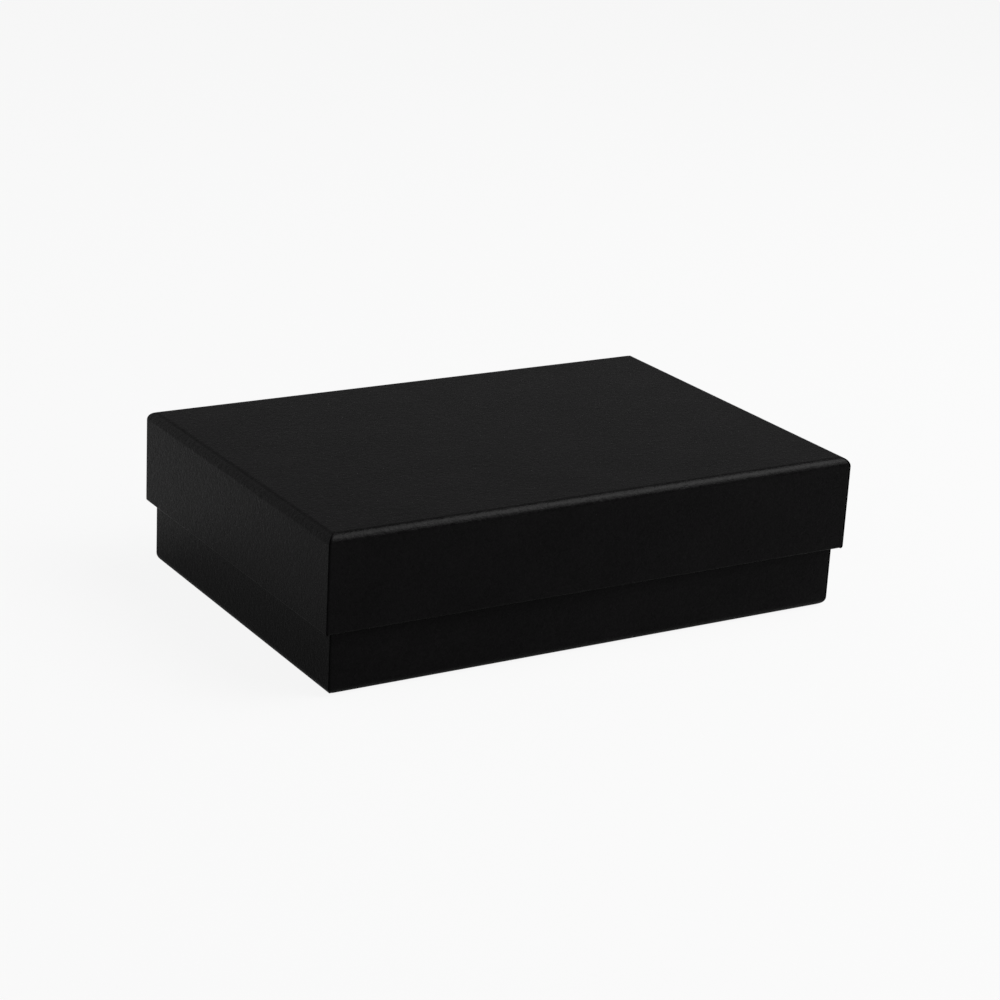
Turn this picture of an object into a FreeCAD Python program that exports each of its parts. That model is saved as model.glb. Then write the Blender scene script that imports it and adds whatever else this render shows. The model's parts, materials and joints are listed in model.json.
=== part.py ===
import FreeCAD, Part
import os

from FreeCAD import Vector

# Two-piece rigid gift box: a lid that telescopes over a base tray.
# Each tray is a greyboard blank, scored and folded up, held at its corners by paper stays,
# wrapped in one sheet of cover paper that turns in over the rim, and lined with one sheet.
# Millimetres, +Z up, X along the length. The origin is under the middle of the base.

# Overall sizes, outside
LID_LENGTH = 165.0
LID_WIDTH = 112.0
LID_DEPTH = 27.0
BOX_HEIGHT = 45.0

# Sheet thicknesses
BOARD = 1.5
PAPER = 0.2
LINING = 0.2
STAY = 0.15

# Gaps between pieces
LID_PLAY = 0.4  # between lid and base, on each side
SEAT_GAP = 0.1  # between the base's rim and the lid's lining
LINING_MARGIN = 0.5  # between a lining sheet and the walls round it
WALL_JOINT = 0.15  # between the end walls and the long walls of a blank

# Outside radii of the covered edges
FOLD_RADIUS = 2.6  # where the blank is scored and folded
CORNER_RADIUS = 0.7  # where two walls meet upright
RIM_RADIUS = 0.7  # where the cover paper turns in over the rim

# Cover paper and stays at the upright corners
SEAM_SETBACK = 0.15  # from the corner to the cut edge of an end flap
TAB_REACH = 14.0  # from the corner to the end of the tab under that flap
STAY_REACH = 10.0  # from the corner to the end of a stay's leg

# Worked-out sizes
WALL = PAPER + BOARD + PAPER
FLOOR = PAPER + BOARD
BASE_LENGTH = LID_LENGTH - 2 * (WALL + LID_PLAY)
BASE_WIDTH = LID_WIDTH - 2 * (WALL + LID_PLAY)
BASE_DEPTH = BOX_HEIGHT - FLOOR - LINING - SEAT_GAP
BEYOND = BOX_HEIGHT  # how far a cutting shape runs past what it cuts

ORIGIN = Vector(0, 0, 0)
X_AXIS = Vector(1, 0, 0)
Z_AXIS = Vector(0, 0, 1)


def line(start, end):
    """Straight edge between two points."""
    return Part.LineSegment(start, end).toShape()


def quarter(start, end, centre):
    """Quarter circle from start to end about a centre."""
    radius = (start - centre).Length
    middle = centre + (start + end - centre * 2).normalize() * radius
    return Part.Arc(start, middle, end).toShape()


def rounded_side(half, low, high, low_radius, high_radius):
    """Side of a block seen along Y: upright, rounded at its lower and its upper edge."""
    low_start = Vector(half - low_radius, 0, low)
    low_end = Vector(half, 0, low + low_radius)
    high_start = Vector(half, 0, high - high_radius)
    high_end = Vector(half - high_radius, 0, high)
    low_centre = Vector(half - low_radius, 0, low + low_radius)
    high_centre = Vector(half - high_radius, 0, high - high_radius)
    return [
        quarter(low_start, low_end, low_centre),
        line(low_end, high_start),
        quarter(high_start, high_end, high_centre),
    ]


def flared_side(half, low, high, mouth_radius):
    """Side of a hollow seen along Y: upright, rounded outwards at its mouth, open above."""
    foot = Vector(half, 0, low)
    mouth_start = Vector(half, 0, high - mouth_radius)
    mouth_end = Vector(half + mouth_radius, 0, high)
    mouth_centre = Vector(half + mouth_radius, 0, high - mouth_radius)
    return [
        line(foot, mouth_start),
        quarter(mouth_start, mouth_end, mouth_centre),
        line(mouth_end, mouth_end + Z_AXIS * BEYOND),
    ]


def swept(side, depth):
    """Solid between a side and its mirror image, running along Y for a depth about the middle."""
    mirrored = [edge.mirror(ORIGIN, X_AXIS) for edge in side]
    low = side[0].valueAt(side[0].FirstParameter)
    high = side[-1].valueAt(side[-1].LastParameter)
    bottom = line(Vector(-low.x, 0, low.z), low)
    top = line(high, Vector(-high.x, 0, high.z))
    edges = Part.__sortEdges__([bottom, top] + side + mirrored)
    face = Part.Face(Part.Wire(edges))
    face.translate(Vector(0, -depth / 2, 0))
    return face.extrude(Vector(0, depth, 0))


def crossed(side_at, length, width):
    """Solid with the same side on all four walls, mitred at the corners.

    side_at gives the side for half of the length or half of the width.
    """
    span = length + width
    ends = swept(side_at(length / 2), span)
    flanks = swept(side_at(width / 2), span)
    flanks.rotate(ORIGIN, Z_AXIS, 90)
    return ends.common(flanks)


def centred_box(length, width, low, high):
    """Plain box centred on the Z axis."""
    corner = Vector(-length / 2, -width / 2, low)
    return Part.makeBox(length, width, high - low, corner)


def upright_block(length, width, low, high, corner_radius):
    """Box centred on the Z axis, with its four upright edges rounded."""
    box = centred_box(length, width, low, high)
    upright = [edge for edge in box.Edges if edge.tangentAt(edge.FirstParameter).isParallel(Z_AXIS, 0.01)]
    return box.makeFillet(corner_radius, upright)


def stepped_block(length, width, low, high, inset, setback):
    """Outer form of a tray at a depth inset under the cover paper.

    Its ends are one paper thickness lower than their middles, from each upright corner to the setback.
    """
    fold_radius = FOLD_RADIUS - inset
    rim_radius = RIM_RADIUS - inset
    corner_radius = CORNER_RADIUS - inset
    short = length - 2 * PAPER

    def side_at(half):
        return rounded_side(half, low, high, fold_radius, rim_radius)

    form = crossed(side_at, short, width)
    form = form.common(upright_block(short, width, low, high, corner_radius))
    raised_ends = crossed(side_at, length, width)
    raised_ends = raised_ends.common(centred_box(length, width - 2 * setback, low, high))
    return form.fuse(raised_ends).removeSplitter()


def hollow(length, width, low, high, mouth_radius):
    """Inside of a tray, open at the top."""
    def side_at(half):
        return flared_side(half, low, high, mouth_radius)

    return crossed(side_at, length, width)


def corner_stays(length, width, low, high):
    """Four strips bent round the upright corners of a block, flush with its faces."""
    corner_radius = CORNER_RADIUS - PAPER
    outside = upright_block(length, width, low, high, corner_radius)
    inside = upright_block(length - 2 * STAY, width - 2 * STAY, low, high, corner_radius - STAY)
    ring = outside.cut(inside)
    stays = []
    for x_side in (-1, 1):
        for y_side in (-1, 1):
            middle = Vector(x_side * length / 2, y_side * width / 2, 0)
            window = centred_box(2 * STAY_REACH, 2 * STAY_REACH, low, high)
            window.translate(middle)
            stays.append(ring.common(window))
    return stays


def wall_joints(length, width, low, high):
    """Slits that part the end walls of a blank from its long walls, at the inner corners of a hollow."""
    slits = []
    for x_side in (-1, 1):
        for y_side in (-1, 1):
            slit = centred_box(2 * WALL, WALL_JOINT, low, high)
            slit.translate(Vector(x_side * (length / 2 + WALL), y_side * (width - WALL_JOINT) / 2, 0))
            slits.append(slit)
    return slits


def tray_pieces(length, width, depth):
    """Pieces of one tray, floor down, with the underside of its cover paper at the origin.

    Returns the board, the cover paper, the lining and a list of stays.
    """
    core_length = length - 2 * PAPER
    core_width = width - 2 * PAPER
    core_rim = depth - PAPER
    core = stepped_block(core_length, core_width, PAPER, core_rim, PAPER, TAB_REACH)
    core_inner = (core_length - 2 * BOARD, core_width - 2 * BOARD)
    core = core.cut(hollow(*core_inner, FLOOR, core_rim, RIM_RADIUS - PAPER))

    inner_length = length - 2 * WALL
    inner_width = width - 2 * WALL
    skin = stepped_block(length, width, 0, depth, 0, SEAM_SETBACK)
    skin = skin.cut(hollow(inner_length, inner_width, FLOOR, depth, RIM_RADIUS))
    wrap = skin.cut(core)

    stays = corner_stays(core_length - 2 * PAPER, core_width, FOLD_RADIUS, depth - RIM_RADIUS)
    joints = wall_joints(*core_inner, FLOOR, depth)
    board = core.cut(Part.makeCompound(stays + joints))

    lining_length = inner_length - 2 * LINING_MARGIN
    lining_width = inner_width - 2 * LINING_MARGIN
    lining = centred_box(lining_length, lining_width, FLOOR, FLOOR + LINING)
    return board, wrap, lining, stays


def corner_name(stay):
    """Which upright corner a stay stands at."""
    centre = stay.CenterOfGravity
    depthwise = "front" if centre.y < 0 else "back"
    sideways = "left" if centre.x < 0 else "right"
    return f"{depthwise}_{sideways}"


def named_tray(name, pieces):
    """Node names and shapes of one tray that is in its place."""
    board, wrap, lining, stays = pieces
    nodes = {f"{name}_board": board, f"{name}_wrap": wrap, f"{name}_lining": lining}
    for stay in stays:
        nodes[f"{name}_stay_{corner_name(stay)}"] = stay
    return nodes


def turned_over(shape):
    """Tray piece turned floor up, with its outside at the closed box's top."""
    lid_piece = shape.copy()
    lid_piece.rotate(ORIGIN, X_AXIS, 180)
    lid_piece.translate(Z_AXIS * BOX_HEIGHT)
    return lid_piece


def build():
    """All nodes of the closed box."""
    base = tray_pieces(BASE_LENGTH, BASE_WIDTH, BASE_DEPTH)
    board, wrap, lining, stays = tray_pieces(LID_LENGTH, LID_WIDTH, LID_DEPTH)
    lid = (turned_over(board), turned_over(wrap), turned_over(lining), [turned_over(stay) for stay in stays])
    nodes = named_tray("base", base)
    nodes.update(named_tray("lid", lid))
    return nodes


os.makedirs("parts", exist_ok=True)
for node_name, node_shape in build().items():
    node_shape.exportStep(f"parts/{node_name}.step")
    print(node_name, len(node_shape.Solids), round(node_shape.Volume, 3), node_shape.isValid())
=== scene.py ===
"""Looks of a two-piece gift box in matt black paper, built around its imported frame."""

import json
import logging
import math
from dataclasses import dataclass
from enum import Enum
from typing import Callable

import bmesh
import bpy
from mathutils import Matrix, Vector


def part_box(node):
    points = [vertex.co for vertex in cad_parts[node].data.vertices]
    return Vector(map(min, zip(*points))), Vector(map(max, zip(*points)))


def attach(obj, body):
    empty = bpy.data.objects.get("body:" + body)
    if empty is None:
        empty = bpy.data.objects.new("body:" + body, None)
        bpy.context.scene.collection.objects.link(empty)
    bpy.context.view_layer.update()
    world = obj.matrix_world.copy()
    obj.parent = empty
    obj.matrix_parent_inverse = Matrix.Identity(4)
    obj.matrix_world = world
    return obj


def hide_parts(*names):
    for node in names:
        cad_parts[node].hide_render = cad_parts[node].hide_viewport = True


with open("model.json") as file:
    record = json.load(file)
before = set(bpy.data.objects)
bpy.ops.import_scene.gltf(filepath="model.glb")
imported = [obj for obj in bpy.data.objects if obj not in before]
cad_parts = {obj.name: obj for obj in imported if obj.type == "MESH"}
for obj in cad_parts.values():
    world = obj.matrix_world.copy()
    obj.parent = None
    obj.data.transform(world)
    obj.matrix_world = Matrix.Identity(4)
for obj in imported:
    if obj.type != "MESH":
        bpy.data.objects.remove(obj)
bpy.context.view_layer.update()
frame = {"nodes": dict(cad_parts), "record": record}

LOG = logging.getLogger("gift_box")

Colour = tuple[float, float, float]
Place = tuple[float, float, float]
Span = tuple[float, float]

MM = 0.001
RIGHT_ANGLE = math.pi / 2
PLACE_TOLERANCE = 0.02 * MM
ROUND_PROFILE = 0.5  # shape of a bevel that is a quarter circle
BENT_EDGE = 1.0  # radians between two faces, above which the edge between them is a bend
PAPER_SMOOTHING = math.radians(32)
TABLE_SMOOTHING = math.radians(40)
FLAT_WEIGHT = 80  # how far large flat panels rule the shading of their edges
PLAIN_GRAIN = (1.0, 1.0, 1.0)
FULL_SPAN = (0.0, 1.0)


class Facing(Enum):
    """Which way a tray opens."""

    UP = 1
    DOWN = -1


class End(Enum):
    """One of the two short ends of the box."""

    LEFT = -1
    RIGHT = 1


class Grain(Enum):
    """Direction in which a sheet's fibres lie, as scales of the pattern along X, Y and Z."""

    LENGTHWISE = (0.75, 1.0, 1.0)
    CROSSWISE = (1.0, 0.75, 1.0)


class BevelMeasure(Enum):
    """How the width of a rounding is measured: square to the edge, or along the edges that meet it."""

    SQUARE = "OFFSET"
    ALONG_EDGES = "ABSOLUTE"


@dataclass(frozen=True)
class MaterialBench:
    """A new material with its Principled shader, and the node set-ups that the finishes share."""

    material: bpy.types.Material
    tree: bpy.types.NodeTree
    shader: bpy.types.Node

    @classmethod
    def start(cls, name: str) -> "MaterialBench":
        """Starts a material.

        Args:
            name: material name.

        Returns:
            The bench that holds it.
        """
        material = bpy.data.materials.new(name)
        material.use_nodes = True
        tree = material.node_tree
        return cls(material, tree, tree.nodes["Principled BSDF"])

    def place(self, scales: Place = PLAIN_GRAIN) -> bpy.types.NodeSocket:
        """Adds the piece's own coordinates.

        Args:
            scales: how far the pattern is packed along X, Y and Z.

        Returns:
            The coordinates.
        """
        coordinates = self.tree.nodes.new("ShaderNodeTexCoord")
        mapping = self.tree.nodes.new("ShaderNodeMapping")
        mapping.inputs["Scale"].default_value = scales
        self.tree.links.new(coordinates.outputs["Object"], mapping.inputs["Vector"])
        return mapping.outputs["Vector"]

    def noise(
        self,
        place: bpy.types.NodeSocket,
        size: float,
        detail: float,
        roughness: float,
        distortion: float = 0.0,
    ) -> bpy.types.NodeSocket:
        """Adds a noise pattern.

        Args:
            place: coordinates that it reads.
            size: size of its features in metres.
            detail: number of finer layers.
            roughness: strength of the finer layers.
            distortion: how far the pattern is warped.

        Returns:
            The noise value.
        """
        node = self.tree.nodes.new("ShaderNodeTexNoise")
        node.inputs["Scale"].default_value = 1 / size
        node.inputs["Detail"].default_value = detail
        node.inputs["Roughness"].default_value = roughness
        node.inputs["Distortion"].default_value = distortion
        self.tree.links.new(place, node.inputs["Vector"])
        return node.outputs["Fac"]

    def cells(self, place: bpy.types.NodeSocket, size: float) -> bpy.types.NodeSocket:
        """Adds scattered cells.

        Args:
            place: coordinates that they read.
            size: size of a cell in metres.

        Returns:
            The distance from the middle of a cell, as a share of its size.
        """
        node = self.tree.nodes.new("ShaderNodeTexVoronoi")
        node.inputs["Scale"].default_value = 1 / size
        self.tree.links.new(place, node.inputs["Vector"])
        return node.outputs["Distance"]

    def spread(
        self,
        value: bpy.types.NodeSocket,
        source: Span,
        target: Span = FULL_SPAN,
    ) -> bpy.types.NodeSocket:
        """Stretches a range of values to another range.

        Args:
            value: value to stretch.
            source: the range that is used.
            target: what its two ends become.

        Returns:
            The stretched value.
        """
        node = self.tree.nodes.new("ShaderNodeMapRange")
        node.inputs["From Min"].default_value = source[0]
        node.inputs["From Max"].default_value = source[1]
        node.inputs["To Min"].default_value = target[0]
        node.inputs["To Max"].default_value = target[1]
        self.tree.links.new(value, node.inputs["Value"])
        return node.outputs["Result"]

    def mix_values(
        self,
        share: float,
        first: bpy.types.NodeSocket,
        second: bpy.types.NodeSocket,
    ) -> bpy.types.NodeSocket:
        """Mixes two patterns.

        Args:
            share: share of the second one.
            first: first pattern.
            second: second pattern.

        Returns:
            The mixed value.
        """
        node = self.tree.nodes.new("ShaderNodeMix")
        node.data_type = "FLOAT"
        node.inputs["Factor"].default_value = share
        self.tree.links.new(first, node.inputs["A"])
        self.tree.links.new(second, node.inputs["B"])
        return node.outputs["Result"]

    def mix_colours(
        self,
        share: bpy.types.NodeSocket,
        first: Colour | bpy.types.NodeSocket,
        second: Colour,
    ) -> bpy.types.NodeSocket:
        """Mixes two colours by a pattern.

        Args:
            share: pattern that gives the share of the second colour.
            first: first colour, or the socket that it comes from.
            second: second colour.

        Returns:
            The mixed colour.
        """
        node = self.tree.nodes.new("ShaderNodeMix")
        node.data_type = "RGBA"
        self.tree.links.new(share, node.inputs["Factor"])
        if isinstance(first, tuple):
            node.inputs["A"].default_value = (*first, 1.0)
        else:
            self.tree.links.new(first, node.inputs["A"])
        node.inputs["B"].default_value = (*second, 1.0)
        return node.outputs["Result"]

    def ramp(
        self,
        value: bpy.types.NodeSocket,
        low: tuple[float, Colour],
        middle: tuple[float, Colour],
        high: tuple[float, Colour],
    ) -> bpy.types.NodeSocket:
        """Turns a value into a colour that runs through three stops.

        Args:
            value: value to colour.
            low: position and colour of the first stop.
            middle: position and colour of the second stop.
            high: position and colour of the last stop.

        Returns:
            The colour.
        """
        node = self.tree.nodes.new("ShaderNodeValToRGB")
        stops = node.color_ramp.elements
        stops[0].position = low[0]
        stops[0].color = (*low[1], 1.0)
        stops[1].position = high[0]
        stops[1].color = (*high[1], 1.0)
        stops.new(middle[0]).color = (*middle[1], 1.0)
        self.tree.links.new(value, node.inputs["Fac"])
        return node.outputs["Color"]

    def relief(self, height: bpy.types.NodeSocket, distance: float) -> bpy.types.NodeSocket:
        """Adds a bump.

        Args:
            height: pattern that gives the height.
            distance: height of the bump in metres.

        Returns:
            The bumped normal.
        """
        node = self.tree.nodes.new("ShaderNodeBump")
        node.inputs["Distance"].default_value = distance
        self.tree.links.new(height, node.inputs["Height"])
        return node.outputs["Normal"]

    def feed(self, name: str, value: bpy.types.NodeSocket) -> None:
        """Links a pattern to one of the shader's sockets."""
        self.tree.links.new(value, self.shader.inputs[name])

    def fix(self, name: str, value: float) -> None:
        """Sets one of the shader's sockets to a value that is the same all over."""
        self.shader.inputs[name].default_value = value


@dataclass(frozen=True)
class PaperFinish:
    """Dyed uncoated paper: a fine tooth, matted fibres and a faint cloudiness.

    Colours are linear. The fibre, tooth and cloud sizes and the tooth's height are in metres.
    The shares say how far the tooth shows among the fibres, and the clouds in the colour.
    The spans are the used ranges of the patterns.
    """

    name: str
    dark: Colour
    light: Colour
    roughness: Span
    specular: float
    grain: Grain
    fibre: float
    tooth: float
    tooth_height: float
    cloud: float = 14.0 * MM
    tooth_share: float = 0.35
    cloud_share: float = 0.3
    shade_span: Span = (0.32, 0.68)
    gloss_span: Span = (0.3, 0.7)

    def material(self) -> bpy.types.Material:
        """Builds the paper material on the piece's own coordinates."""
        bench = MaterialBench.start(self.name)
        place = bench.place(self.grain.value)
        fibres = bench.noise(place, self.fibre, detail=3.0, roughness=0.62, distortion=0.8)
        tooth = bench.noise(place, self.tooth, detail=2.0, roughness=0.55)
        cloud = bench.noise(place, self.cloud, detail=3.0, roughness=0.5)
        matted = bench.mix_values(self.tooth_share, fibres, tooth)
        clouded = bench.mix_values(self.cloud_share, matted, cloud)
        shade = bench.spread(clouded, self.shade_span)
        bench.feed("Base Color", bench.mix_colours(shade, self.dark, self.light))
        bench.feed("Roughness", bench.spread(tooth, self.gloss_span, self.roughness))
        bench.feed("Normal", bench.relief(matted, self.tooth_height))
        bench.fix("Specular IOR Level", self.specular)
        return bench.material


@dataclass(frozen=True)
class BoardFinish:
    """Recycled greyboard or kraft: a soft felted ground with darker and lighter flecks.

    Colours are linear. The fleck size and the felt's height are in metres.
    The fleck spacing is in fleck sizes, and the fleck span in spacings: a fleck has its full depth
    inside the near end of the span and fades out at the far end. The felt stops are where the fleck,
    ground and pale colours lie on the felt pattern.
    """

    name: str
    ground: Colour
    fleck: Colour
    pale: Colour
    fleck_size: float
    fleck_spacing: float = 2.5
    fleck_span: Span = (0.06, 0.16)
    fleck_depth: float = 0.6
    felt_stops: tuple[float, float, float] = (0.3, 0.5, 0.72)
    felt_height: float = 0.03 * MM
    roughness: float = 0.92
    specular: float = 0.2

    def material(self) -> bpy.types.Material:
        """Builds the board material on the piece's own coordinates."""
        bench = MaterialBench.start(self.name)
        place = bench.place()
        felt = bench.noise(place, self.fleck_size, detail=4.0, roughness=0.65, distortion=1.2)
        fleck_stop, ground_stop, pale_stop = self.felt_stops
        ground = bench.ramp(
            felt,
            (fleck_stop, self.fleck),
            (ground_stop, self.ground),
            (pale_stop, self.pale),
        )
        cells = bench.cells(place, self.fleck_spacing * self.fleck_size)
        spots = bench.spread(cells, self.fleck_span, (self.fleck_depth, 0.0))
        bench.feed("Base Color", bench.mix_colours(spots, ground, self.fleck))
        bench.feed("Normal", bench.relief(felt, self.felt_height))
        bench.fix("Roughness", self.roughness)
        bench.fix("Specular IOR Level", self.specular)
        return bench.material


COVER_PAPER = PaperFinish(
    name="black_cover_paper",
    dark=(0.0017, 0.0016, 0.0017),
    light=(0.005, 0.0047, 0.005),
    roughness=(0.24, 0.36),
    specular=0.045,
    grain=Grain.LENGTHWISE,
    fibre=1.3 * MM,
    tooth=0.55 * MM,
    tooth_height=0.17 * MM,
)
LINING_PAPER = PaperFinish(
    name="black_lining_paper",
    dark=(0.0045, 0.0044, 0.0046),
    light=(0.0085, 0.0083, 0.0086),
    roughness=(0.55, 0.7),
    specular=0.06,
    grain=Grain.CROSSWISE,
    fibre=0.6 * MM,
    tooth=0.22 * MM,
    tooth_height=0.02 * MM,
)
GREYBOARD = BoardFinish(
    name="greyboard",
    ground=(0.30, 0.28, 0.25),
    fleck=(0.16, 0.15, 0.14),
    pale=(0.42, 0.40, 0.37),
    fleck_size=0.7 * MM,
)
STAY_KRAFT = BoardFinish(
    name="stay_kraft",
    ground=(0.42, 0.29, 0.17),
    fleck=(0.28, 0.18, 0.10),
    pale=(0.52, 0.38, 0.24),
    fleck_size=0.5 * MM,
)


def take_up(piece: bpy.types.Object) -> None:
    """Selects one piece alone and makes it the active one."""
    bpy.ops.object.select_all(action="DESELECT")
    piece.select_set(True)
    bpy.context.view_layer.objects.active = piece


def start_edit(piece: bpy.types.Object) -> None:
    """Opens one piece alone in edit mode with nothing in it selected."""
    take_up(piece)
    bpy.ops.object.mode_set(mode="EDIT")
    bpy.ops.mesh.select_all(action="DESELECT")


def end_edit() -> None:
    """Leaves edit mode."""
    bpy.ops.object.mode_set(mode="OBJECT")


def pick_edges(piece: bpy.types.Object, test: Callable[[bmesh.types.BMEdge], bool]) -> None:
    """Selects only the edges that pass a test.

    Args:
        piece: object in edit mode.
        test: says whether an edge is wanted.
    """
    bpy.ops.mesh.select_mode(type="EDGE")
    bpy.ops.mesh.select_all(action="DESELECT")
    mesh = bmesh.from_edit_mesh(piece.data)
    wanted = [edge for edge in mesh.edges if test(edge)]
    for edge in wanted:
        edge.select_set(True)
    bmesh.update_edit_mesh(piece.data)


def pick_faces(piece: bpy.types.Object, test: Callable[[bmesh.types.BMFace], bool]) -> None:
    """Selects only the faces that pass a test.

    Args:
        piece: object in edit mode.
        test: says whether a face is wanted.
    """
    bpy.ops.mesh.select_mode(type="FACE")
    bpy.ops.mesh.select_all(action="DESELECT")
    mesh = bmesh.from_edit_mesh(piece.data)
    wanted = [face for face in mesh.faces if test(face)]
    for face in wanted:
        face.select_set(True)
    bmesh.update_edit_mesh(piece.data)


def near(value: float, target: float) -> bool:
    """Whether a coordinate is at a place."""
    return abs(value - target) < PLACE_TOLERANCE


def edge_at_level(edge: bmesh.types.BMEdge, level: float) -> bool:
    """Whether an edge lies at a height."""
    return all(near(corner.co.z, level) for corner in edge.verts)


def round_edges(radius: float, steps: int, measure: BevelMeasure = BevelMeasure.SQUARE) -> None:
    """Rounds the selected edges of the piece in edit mode.

    Args:
        radius: radius of the rounding.
        steps: number of strips.
        measure: how the radius is measured.
    """
    bpy.ops.mesh.bevel(
        offset_type=measure.value,
        offset=radius,
        segments=steps,
        profile=ROUND_PROFILE,
        affect="EDGES",
    )


def draw_out(shift: Place) -> None:
    """Draws the selected edges of the piece in edit mode out into new strips."""
    bpy.ops.mesh.extrude_region_move(TRANSFORM_OT_translate={"value": shift})


def resize(scales: Place, centre: Place) -> None:
    """Scales what is selected about a centre."""
    bpy.ops.transform.resize(value=scales, center_override=centre)


def apply_modifier(piece: bpy.types.Object, kind: str, **settings: object) -> None:
    """Adds a modifier to a piece and applies it.

    Args:
        piece: object that gets it.
        kind: modifier type name.
        settings: attributes of the modifier.
    """
    take_up(piece)
    modifier = piece.modifiers.new(kind.lower(), kind)
    for key, value in settings.items():
        setattr(modifier, key, value)
    bpy.ops.object.modifier_apply(modifier=modifier.name)


def smooth_paper(piece: bpy.types.Object) -> None:
    """Shades a sheet smooth over its folds and keeps its panels flat and its cut edges crisp."""
    take_up(piece)
    bpy.ops.object.shade_smooth_by_angle(angle=PAPER_SMOOTHING)
    apply_modifier(piece, "WEIGHTED_NORMAL", keep_sharp=True, weight=FLAT_WEIGHT)


@dataclass
class WrappedTray:
    """A board tray covered in one sheet of paper, whose end flaps lie over the corner tabs.

    Lengths are in metres. The overall sizes come from the frame.
    """

    name: str
    facing: Facing
    fold_radius: float = 2.6 * MM
    corner_radius: float = 0.7 * MM
    rim_radius: float = 0.7 * MM
    seam_setback: float = 0.05 * MM
    foot_reach: float = 0.45 * MM
    foot_rise: float = 0.1 * MM
    fold_steps: int = 10
    corner_steps: int = 6
    rim_steps: int = 4
    paper_share: float = 0.9

    def __post_init__(self) -> None:
        """Takes the tray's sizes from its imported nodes."""
        low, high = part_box(f"{self.name}_wrap")
        _, board_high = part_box(f"{self.name}_board")
        lining_low, lining_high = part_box(f"{self.name}_lining")
        self.half_length = high.x
        self.half_width = high.y
        self.depth = high.z - low.z
        self.paper = high.x - board_high.x
        if self.facing is Facing.UP:
            self.outside = low.z
            self.floor = lining_low.z - low.z
        else:
            self.outside = high.z
            self.floor = high.z - lining_high.z
        self.wall = self.floor + self.paper

    def level(self, rise: float) -> float:
        """Height of a point that is a rise above the tray's outer floor, towards its rim."""
        return self.outside + self.facing.value * rise

    def build_cover(self) -> bpy.types.Object:
        """Models the sheet's floor panel, long walls, corner tabs, rim and turn-in.

        Returns:
            The cover, as one closed sheet.
        """
        end = self.half_length - self.paper
        side = self.half_width
        rim = self.depth - self.paper * (1 - self.paper_share)
        bpy.ops.object.select_all(action="DESELECT")
        bpy.ops.mesh.primitive_cube_add(size=1, location=(0, 0, self.level(rim / 2)))
        cover = bpy.context.object
        cover.name = f"{self.name}_cover"
        cover.scale = (2 * end, 2 * side, rim)
        bpy.ops.object.transform_apply(location=True, rotation=True, scale=True)

        start_edit(cover)
        pick_faces(cover, lambda face: near(face.calc_center_median().z, self.level(rim)))
        bpy.ops.mesh.delete(type="FACE")
        pick_edges(cover, lambda edge: edge_at_level(edge, self.level(0)))
        round_edges(self.fold_radius, self.fold_steps)
        pick_edges(cover, lambda edge: self.on_corner(edge, end, side))
        round_edges(self.corner_radius, self.corner_steps, BevelMeasure.ALONG_EDGES)
        self.turn_in(cover, end, side, rim)
        bpy.ops.mesh.select_all(action="SELECT")
        bpy.ops.mesh.normals_make_consistent(inside=False)
        end_edit()
        self.thicken(cover)
        return cover

    def thicken(self, sheet: bpy.types.Object) -> None:
        """Gives a sheet its thickness, inwards, and its shading."""
        apply_modifier(sheet, "SOLIDIFY", thickness=self.paper * self.paper_share, offset=-1.0)
        smooth_paper(sheet)

    def on_corner(self, edge: bmesh.types.BMEdge, end: float, side: float) -> bool:
        """Whether an edge runs up an upright corner or along its mitred fold."""
        first, second = edge.verts
        if near(first.co.z, second.co.z):
            return False
        return all(near(end - abs(point.co.x), side - abs(point.co.y)) for point in (first, second))

    def turn_in(self, cover: bpy.types.Object, end: float, side: float, rim: float) -> None:
        """Turns the cover's open edge over the rim, down the inside of the walls and onto the floor.

        Args:
            cover: cover in edit mode.
            end: half of the cover's length.
            side: half of the cover's width.
            rim: rise of the rim.
        """
        inner_end = self.half_length - self.wall + self.paper
        inner_side = self.half_width - self.wall
        pick_edges(cover, lambda edge: edge_at_level(edge, self.level(rim)))
        bpy.ops.mesh.extrude_region_move()
        resize((inner_end / end, inner_side / side, 1), (0, 0, self.level(rim)))
        foot_level = self.floor + self.foot_rise
        draw_out((0, 0, self.facing.value * (foot_level - rim)))
        bpy.ops.mesh.extrude_region_move()
        foot_end = (inner_end - self.foot_reach) / inner_end
        foot_side = (inner_side - self.foot_reach) / inner_side
        resize((foot_end, foot_side, 1), (0, 0, self.level(foot_level)))
        pick_edges(
            cover,
            lambda edge: edge_at_level(edge, self.level(rim)) and edge.calc_face_angle(0.0) > BENT_EDGE,
        )
        round_edges(self.rim_radius, self.rim_steps)

    def build_flap(self, end: End) -> bpy.types.Object:
        """Models one end flap: from the floor's fold, over the tabs and the rim, and down the inside.

        Args:
            end: the short end that the flap covers.

        Returns:
            The flap, as one closed sheet.
        """
        way = end.value
        reach = self.half_length
        half_width = self.half_width - self.seam_setback
        bottom = self.fold_radius
        top = self.depth - self.rim_radius
        middle = (way * reach, 0, self.level((bottom + top) / 2))
        bpy.ops.object.select_all(action="DESELECT")
        bpy.ops.mesh.primitive_plane_add(size=1, location=middle, rotation=(0, way * RIGHT_ANGLE, 0))
        flap = bpy.context.object
        flap.name = f"{self.name}_flap_{end.name.lower()}"
        flap.scale = (top - bottom, 2 * half_width, 1)
        bpy.ops.object.transform_apply(location=True, rotation=True, scale=True)

        start_edit(flap)
        turn = way * self.facing.value * RIGHT_ANGLE
        fold_axis = (way * (reach - self.fold_radius), 0, self.level(self.fold_radius))
        pick_edges(flap, lambda edge: edge_at_level(edge, self.level(bottom)))
        self.spin(fold_axis, turn, self.fold_steps)
        self.taper_fold(flap, half_width)

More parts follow.
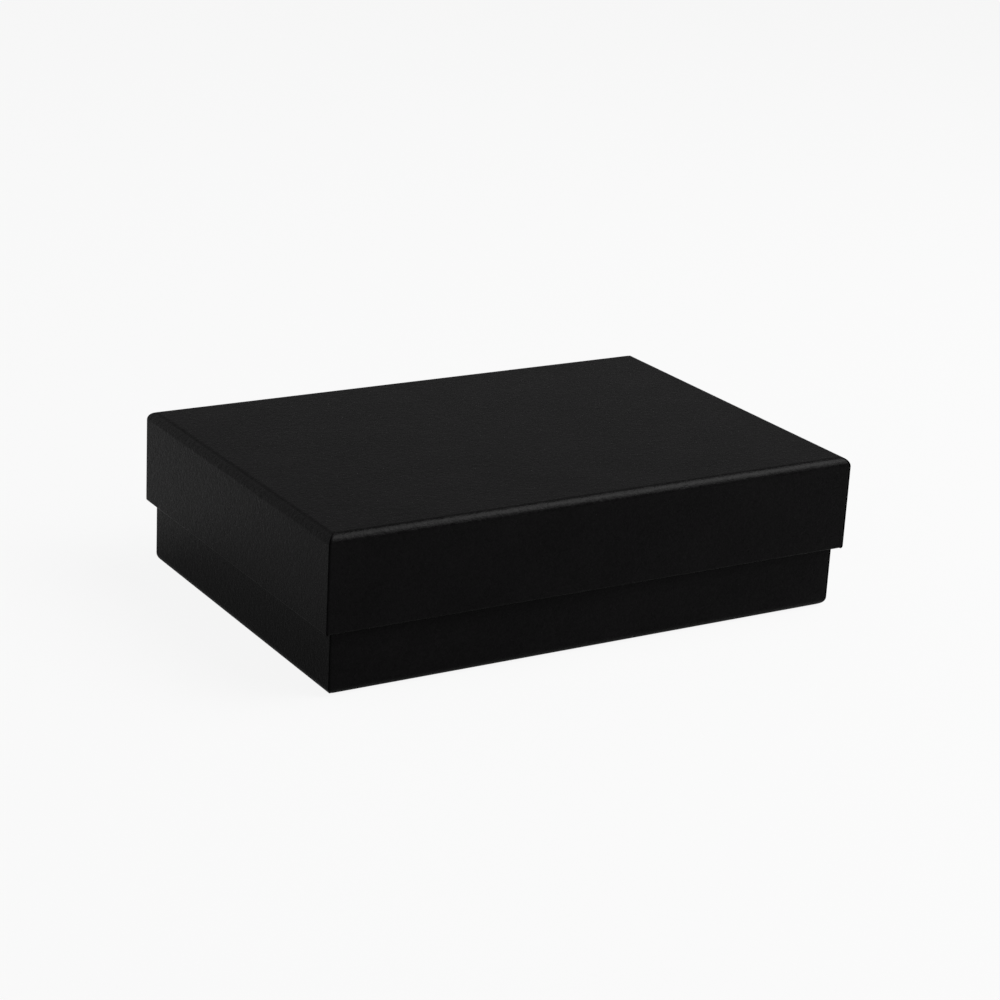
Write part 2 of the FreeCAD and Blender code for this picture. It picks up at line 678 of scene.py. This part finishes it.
        rim_axis = (way * (reach - self.rim_radius), 0, self.level(top))
        inner_axis = (way * (reach - self.wall + self.rim_radius), 0, self.level(top))
        pick_edges(flap, lambda edge: edge_at_level(edge, self.level(top)))
        self.spin(rim_axis, -turn, self.rim_steps)
        draw_out((-way * (self.wall - 2 * self.rim_radius), 0, 0))
        mitred = (self.half_width - self.wall) / half_width
        resize((1, mitred, 1), (0, 0, 0))
        self.spin(inner_axis, -turn, self.rim_steps)
        draw_out((0, 0, self.facing.value * (self.floor + self.foot_rise - top)))
        draw_out((-way * self.foot_reach, 0, 0))

        bpy.ops.mesh.select_all(action="SELECT")
        bpy.ops.mesh.normals_make_consistent(inside=False)
        end_edit()
        self.face_outwards(flap, way)
        self.thicken(flap)
        return flap

    def spin(self, centre: Place, angle: float, steps: int) -> None:
        """Sweeps the selected edge round a line that lies crosswise.

        Args:
            centre: point on the line.
            angle: right-handed turn about +Y, in radians. The operator turns the other way.
            steps: number of strips.
        """
        bpy.ops.mesh.spin(steps=steps, angle=-angle, center=centre, axis=(0, 1, 0))

    def taper_fold(self, flap: bpy.types.Object, half_width: float) -> None:
        """Draws a flap's sides in over its fold, so that they follow the mitred corners.

        Args:
            flap: flap in edit mode, with its fold swept.
            half_width: half of the flap's width on the wall.
        """
        for step in range(1, self.fold_steps + 1):
            angle = RIGHT_ANGLE * (1 - step / self.fold_steps)
            level = self.level(self.fold_radius * (1 - math.cos(angle)))
            inset = self.fold_radius * (1 - math.sin(angle))
            pick_edges(flap, lambda edge: edge_at_level(edge, level))
            resize((1, (half_width - inset) / half_width, 1), (0, 0, level))

    def face_outwards(self, flap: bpy.types.Object, way: int) -> None:
        """Turns a flap's faces over if its wall panel looks into the tray.

        Args:
            flap: flap out of edit mode.
            way: side of the box that the flap is on, along X.
        """
        wall = max(flap.data.polygons, key=lambda face: face.center.x * way)
        if wall.normal.x * way > 0:
            return
        start_edit(flap)
        bpy.ops.mesh.select_all(action="SELECT")
        bpy.ops.mesh.flip_normals()
        end_edit()

    def dress(self, piece: bpy.types.Object, finish: bpy.types.Material) -> None:
        """Gives a cover piece its paper and fixes it to the tray's body.

        Args:
            piece: cover or flap of this tray.
            finish: its paper.
        """
        piece.data.materials.clear()
        piece.data.materials.append(finish)
        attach(piece, self.name)
        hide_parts(f"{self.name}_wrap")
        LOG.info("%s: %d faces", piece.name, len(piece.data.polygons))

    def build(self, finish: bpy.types.Material) -> None:
        """Builds and dresses the cover and its two end flaps."""
        self.dress(self.build_cover(), finish)
        for end in End:
            self.dress(self.build_flap(end), finish)


def dress_nodes(finishes: dict[str, bpy.types.Material]) -> None:
    """Gives every carried-over node the finish of its material slot.

    Args:
        finishes: material of each slot.
    """
    for subpart in frame["record"]["subparts"]:
        node = frame["nodes"][subpart["node"]]
        node.data.materials.clear()
        node.data.materials.append(finishes[subpart["material_slot"]])
        LOG.info("%s: %s", node.name, subpart["material_slot"])


@dataclass(frozen=True)
class Softbox:
    """A square studio lamp, aimed at a point."""

    name: str
    place: Place
    size: float
    watts: float
    aim: Place = (0.0, 0.0, 0.02)

    def build(self) -> None:
        """Adds the lamp and turns it to its aim."""
        data = bpy.data.lights.new(self.name, "AREA")
        data.shape = "SQUARE"
        data.size = self.size
        data.energy = self.watts
        lamp = bpy.data.objects.new(self.name, data)
        bpy.context.scene.collection.objects.link(lamp)
        lamp.location = self.place
        towards = Vector(self.aim) - Vector(self.place)
        lamp.rotation_euler = towards.to_track_quat("-Z", "Y").to_euler()


SOFTBOXES = (
    Softbox("front_softbox", place=(0.6, -0.62, 0.78), size=0.8, watts=8.0),
    Softbox("top_softbox", place=(0.59, -0.24, 0.98), size=0.8, watts=11.0),
    Softbox("back_softbox", place=(-0.62, 1.0, 0.46), size=1.4, watts=3.05),
)


@dataclass(frozen=True)
class PhotoCamera:
    """The camera of the photograph's angle. Angles are in radians, the lens and its sensor in millimetres."""

    azimuth: float = math.radians(-31.929)
    elevation: float = math.radians(19.198)
    roll: float = math.radians(3.1425)
    place: Place = (-0.37424, -0.60378, 0.27277)
    lens: float = 95.165
    sensor: float = 36.0
    nearest: float = 0.01

    def build(self) -> None:
        """Adds the camera, rolled as the photograph is, and makes it the scene's own."""
        sight = Vector((
            math.sin(self.azimuth) * math.cos(self.elevation),
            -math.cos(self.azimuth) * math.cos(self.elevation),
            math.sin(self.elevation),
        ))
        level_right = Vector((math.cos(self.azimuth), math.sin(self.azimuth), 0))
        level_up = sight.cross(level_right)
        right = level_right * math.cos(self.roll) + level_up * math.sin(self.roll)
        upward = level_up * math.cos(self.roll) - level_right * math.sin(self.roll)
        data = bpy.data.cameras.new("photo_camera")
        data.lens = self.lens
        data.sensor_width = self.sensor
        data.clip_start = self.nearest
        camera = bpy.data.objects.new("photo_camera", data)
        bpy.context.scene.collection.objects.link(camera)
        turn = Matrix((right, upward, sight)).transposed().to_4x4()
        camera.matrix_world = Matrix.Translation(self.place) @ turn
        bpy.context.scene.camera = camera


@dataclass(frozen=True)
class Studio:
    """Pale round table coved up into a low wall, under the plain dim light of a room.

    Lengths are in metres.
    The lifts are the shares of pure white that the table shows to a straight look and to gloss.
    """

    floor_level: float = -0.1 * MM
    floor_radius: float = 3.2
    floor_sides: int = 96
    wall_height: float = 0.85
    cove_radius: float = 0.3
    cove_steps: int = 8
    white: float = 0.48
    seen_lift: float = 0.9
    gloss_lift: float = 0.15
    ambient: float = 0.17

    def lift(self, tree: bpy.types.NodeTree) -> bpy.types.NodeSocket:
        """How far the table is lifted to white: seen straight, or by gloss or through glass.

        Args:
            tree: node tree of the table's paint.

        Returns:
            The socket that holds the share of white.
        """
        path = tree.nodes.new("ShaderNodeLightPath")
        indirect = tree.nodes.new("ShaderNodeMath")
        indirect.operation = "MAXIMUM"
        dimmed = tree.nodes.new("ShaderNodeMath")
        dimmed.operation = "MULTIPLY"
        dimmed.inputs[1].default_value = self.gloss_lift
        total = tree.nodes.new("ShaderNodeMath")
        total.operation = "MULTIPLY_ADD"
        total.inputs[1].default_value = self.seen_lift
        tree.links.new(path.outputs["Is Glossy Ray"], indirect.inputs[0])
        tree.links.new(path.outputs["Is Transmission Ray"], indirect.inputs[1])
        tree.links.new(indirect.outputs["Value"], dimmed.inputs[0])
        tree.links.new(path.outputs["Is Camera Ray"], total.inputs[0])
        tree.links.new(dimmed.outputs["Value"], total.inputs[2])
        return total.outputs["Value"]

    def table_paint(self) -> bpy.types.Material:
        """Builds the table's paint, lifted where it is looked at so that it keeps only a soft shadow."""
        material = bpy.data.materials.new("white_table")
        material.use_nodes = True
        tree = material.node_tree
        tree.nodes.remove(tree.nodes["Principled BSDF"])
        matt = tree.nodes.new("ShaderNodeBsdfDiffuse")
        matt.inputs["Color"].default_value = (self.white, self.white, self.white, 1.0)
        glow = tree.nodes.new("ShaderNodeEmission")
        mix = tree.nodes.new("ShaderNodeMixShader")
        tree.links.new(self.lift(tree), mix.inputs["Fac"])
        tree.links.new(matt.outputs["BSDF"], mix.inputs[1])
        tree.links.new(glow.outputs["Emission"], mix.inputs[2])
        tree.links.new(mix.outputs["Shader"], tree.nodes["Material Output"].inputs["Surface"])
        return material

    def table(self) -> None:
        """Adds the round table and draws its edge up through the cove into the wall."""
        bpy.ops.object.select_all(action="DESELECT")
        bpy.ops.mesh.primitive_circle_add(
            vertices=self.floor_sides,
            radius=self.floor_radius,
            fill_type="NGON",
            location=(0, 0, self.floor_level),
        )
        table = bpy.context.object
        table.name = "table"
        bpy.ops.object.transform_apply(location=True, rotation=True, scale=True)
        start_edit(table)
        pick_edges(table, lambda edge: edge.is_boundary)
        radius = self.floor_radius
        height = self.floor_level
        for step in range(1, self.cove_steps + 1):
            angle = RIGHT_ANGLE * step / self.cove_steps
            next_radius = self.floor_radius + self.cove_radius * math.sin(angle)
            next_height = self.floor_level + self.cove_radius * (1 - math.cos(angle))
            draw_out((0, 0, next_height - height))
            growth = next_radius / radius
            resize((growth, growth, 1), (0, 0, next_height))
            radius = next_radius
            height = next_height
        draw_out((0, 0, self.wall_height - height))
        end_edit()
        bpy.ops.object.shade_smooth_by_angle(angle=TABLE_SMOOTHING)
        table.data.materials.append(self.table_paint())

    def room(self) -> None:
        """Sets the dim plain light of the room above the wall."""
        world = bpy.data.worlds.new("room")
        bpy.context.scene.world = world
        world.use_nodes = True
        background = world.node_tree.nodes["Background"]
        background.inputs["Color"].default_value = (1.0, 1.0, 1.0, 1.0)
        background.inputs["Strength"].default_value = self.ambient

    def build(self) -> None:
        """Sets up the table and the light."""
        bpy.context.scene.view_settings.view_transform = "Standard"
        self.table()
        self.room()
        for softbox in SOFTBOXES:
            softbox.build()


def main() -> None:
    """Builds the box's looks piece by piece, then the studio and the camera, and logs faces and slots."""
    logging.basicConfig(level=logging.INFO, format="%(name)s %(message)s")
    cover = COVER_PAPER.material()
    finishes = {
        "cover_paper": cover,
        "lining_paper": LINING_PAPER.material(),
        "greyboard": GREYBOARD.material(),
        "stay_paper": STAY_KRAFT.material(),
    }
    dress_nodes(finishes)
    WrappedTray("base", Facing.UP).build(cover)
    WrappedTray("lid", Facing.DOWN).build(cover)
    Studio().build()
    PhotoCamera().build()


if __name__ == "__main__":
    main()
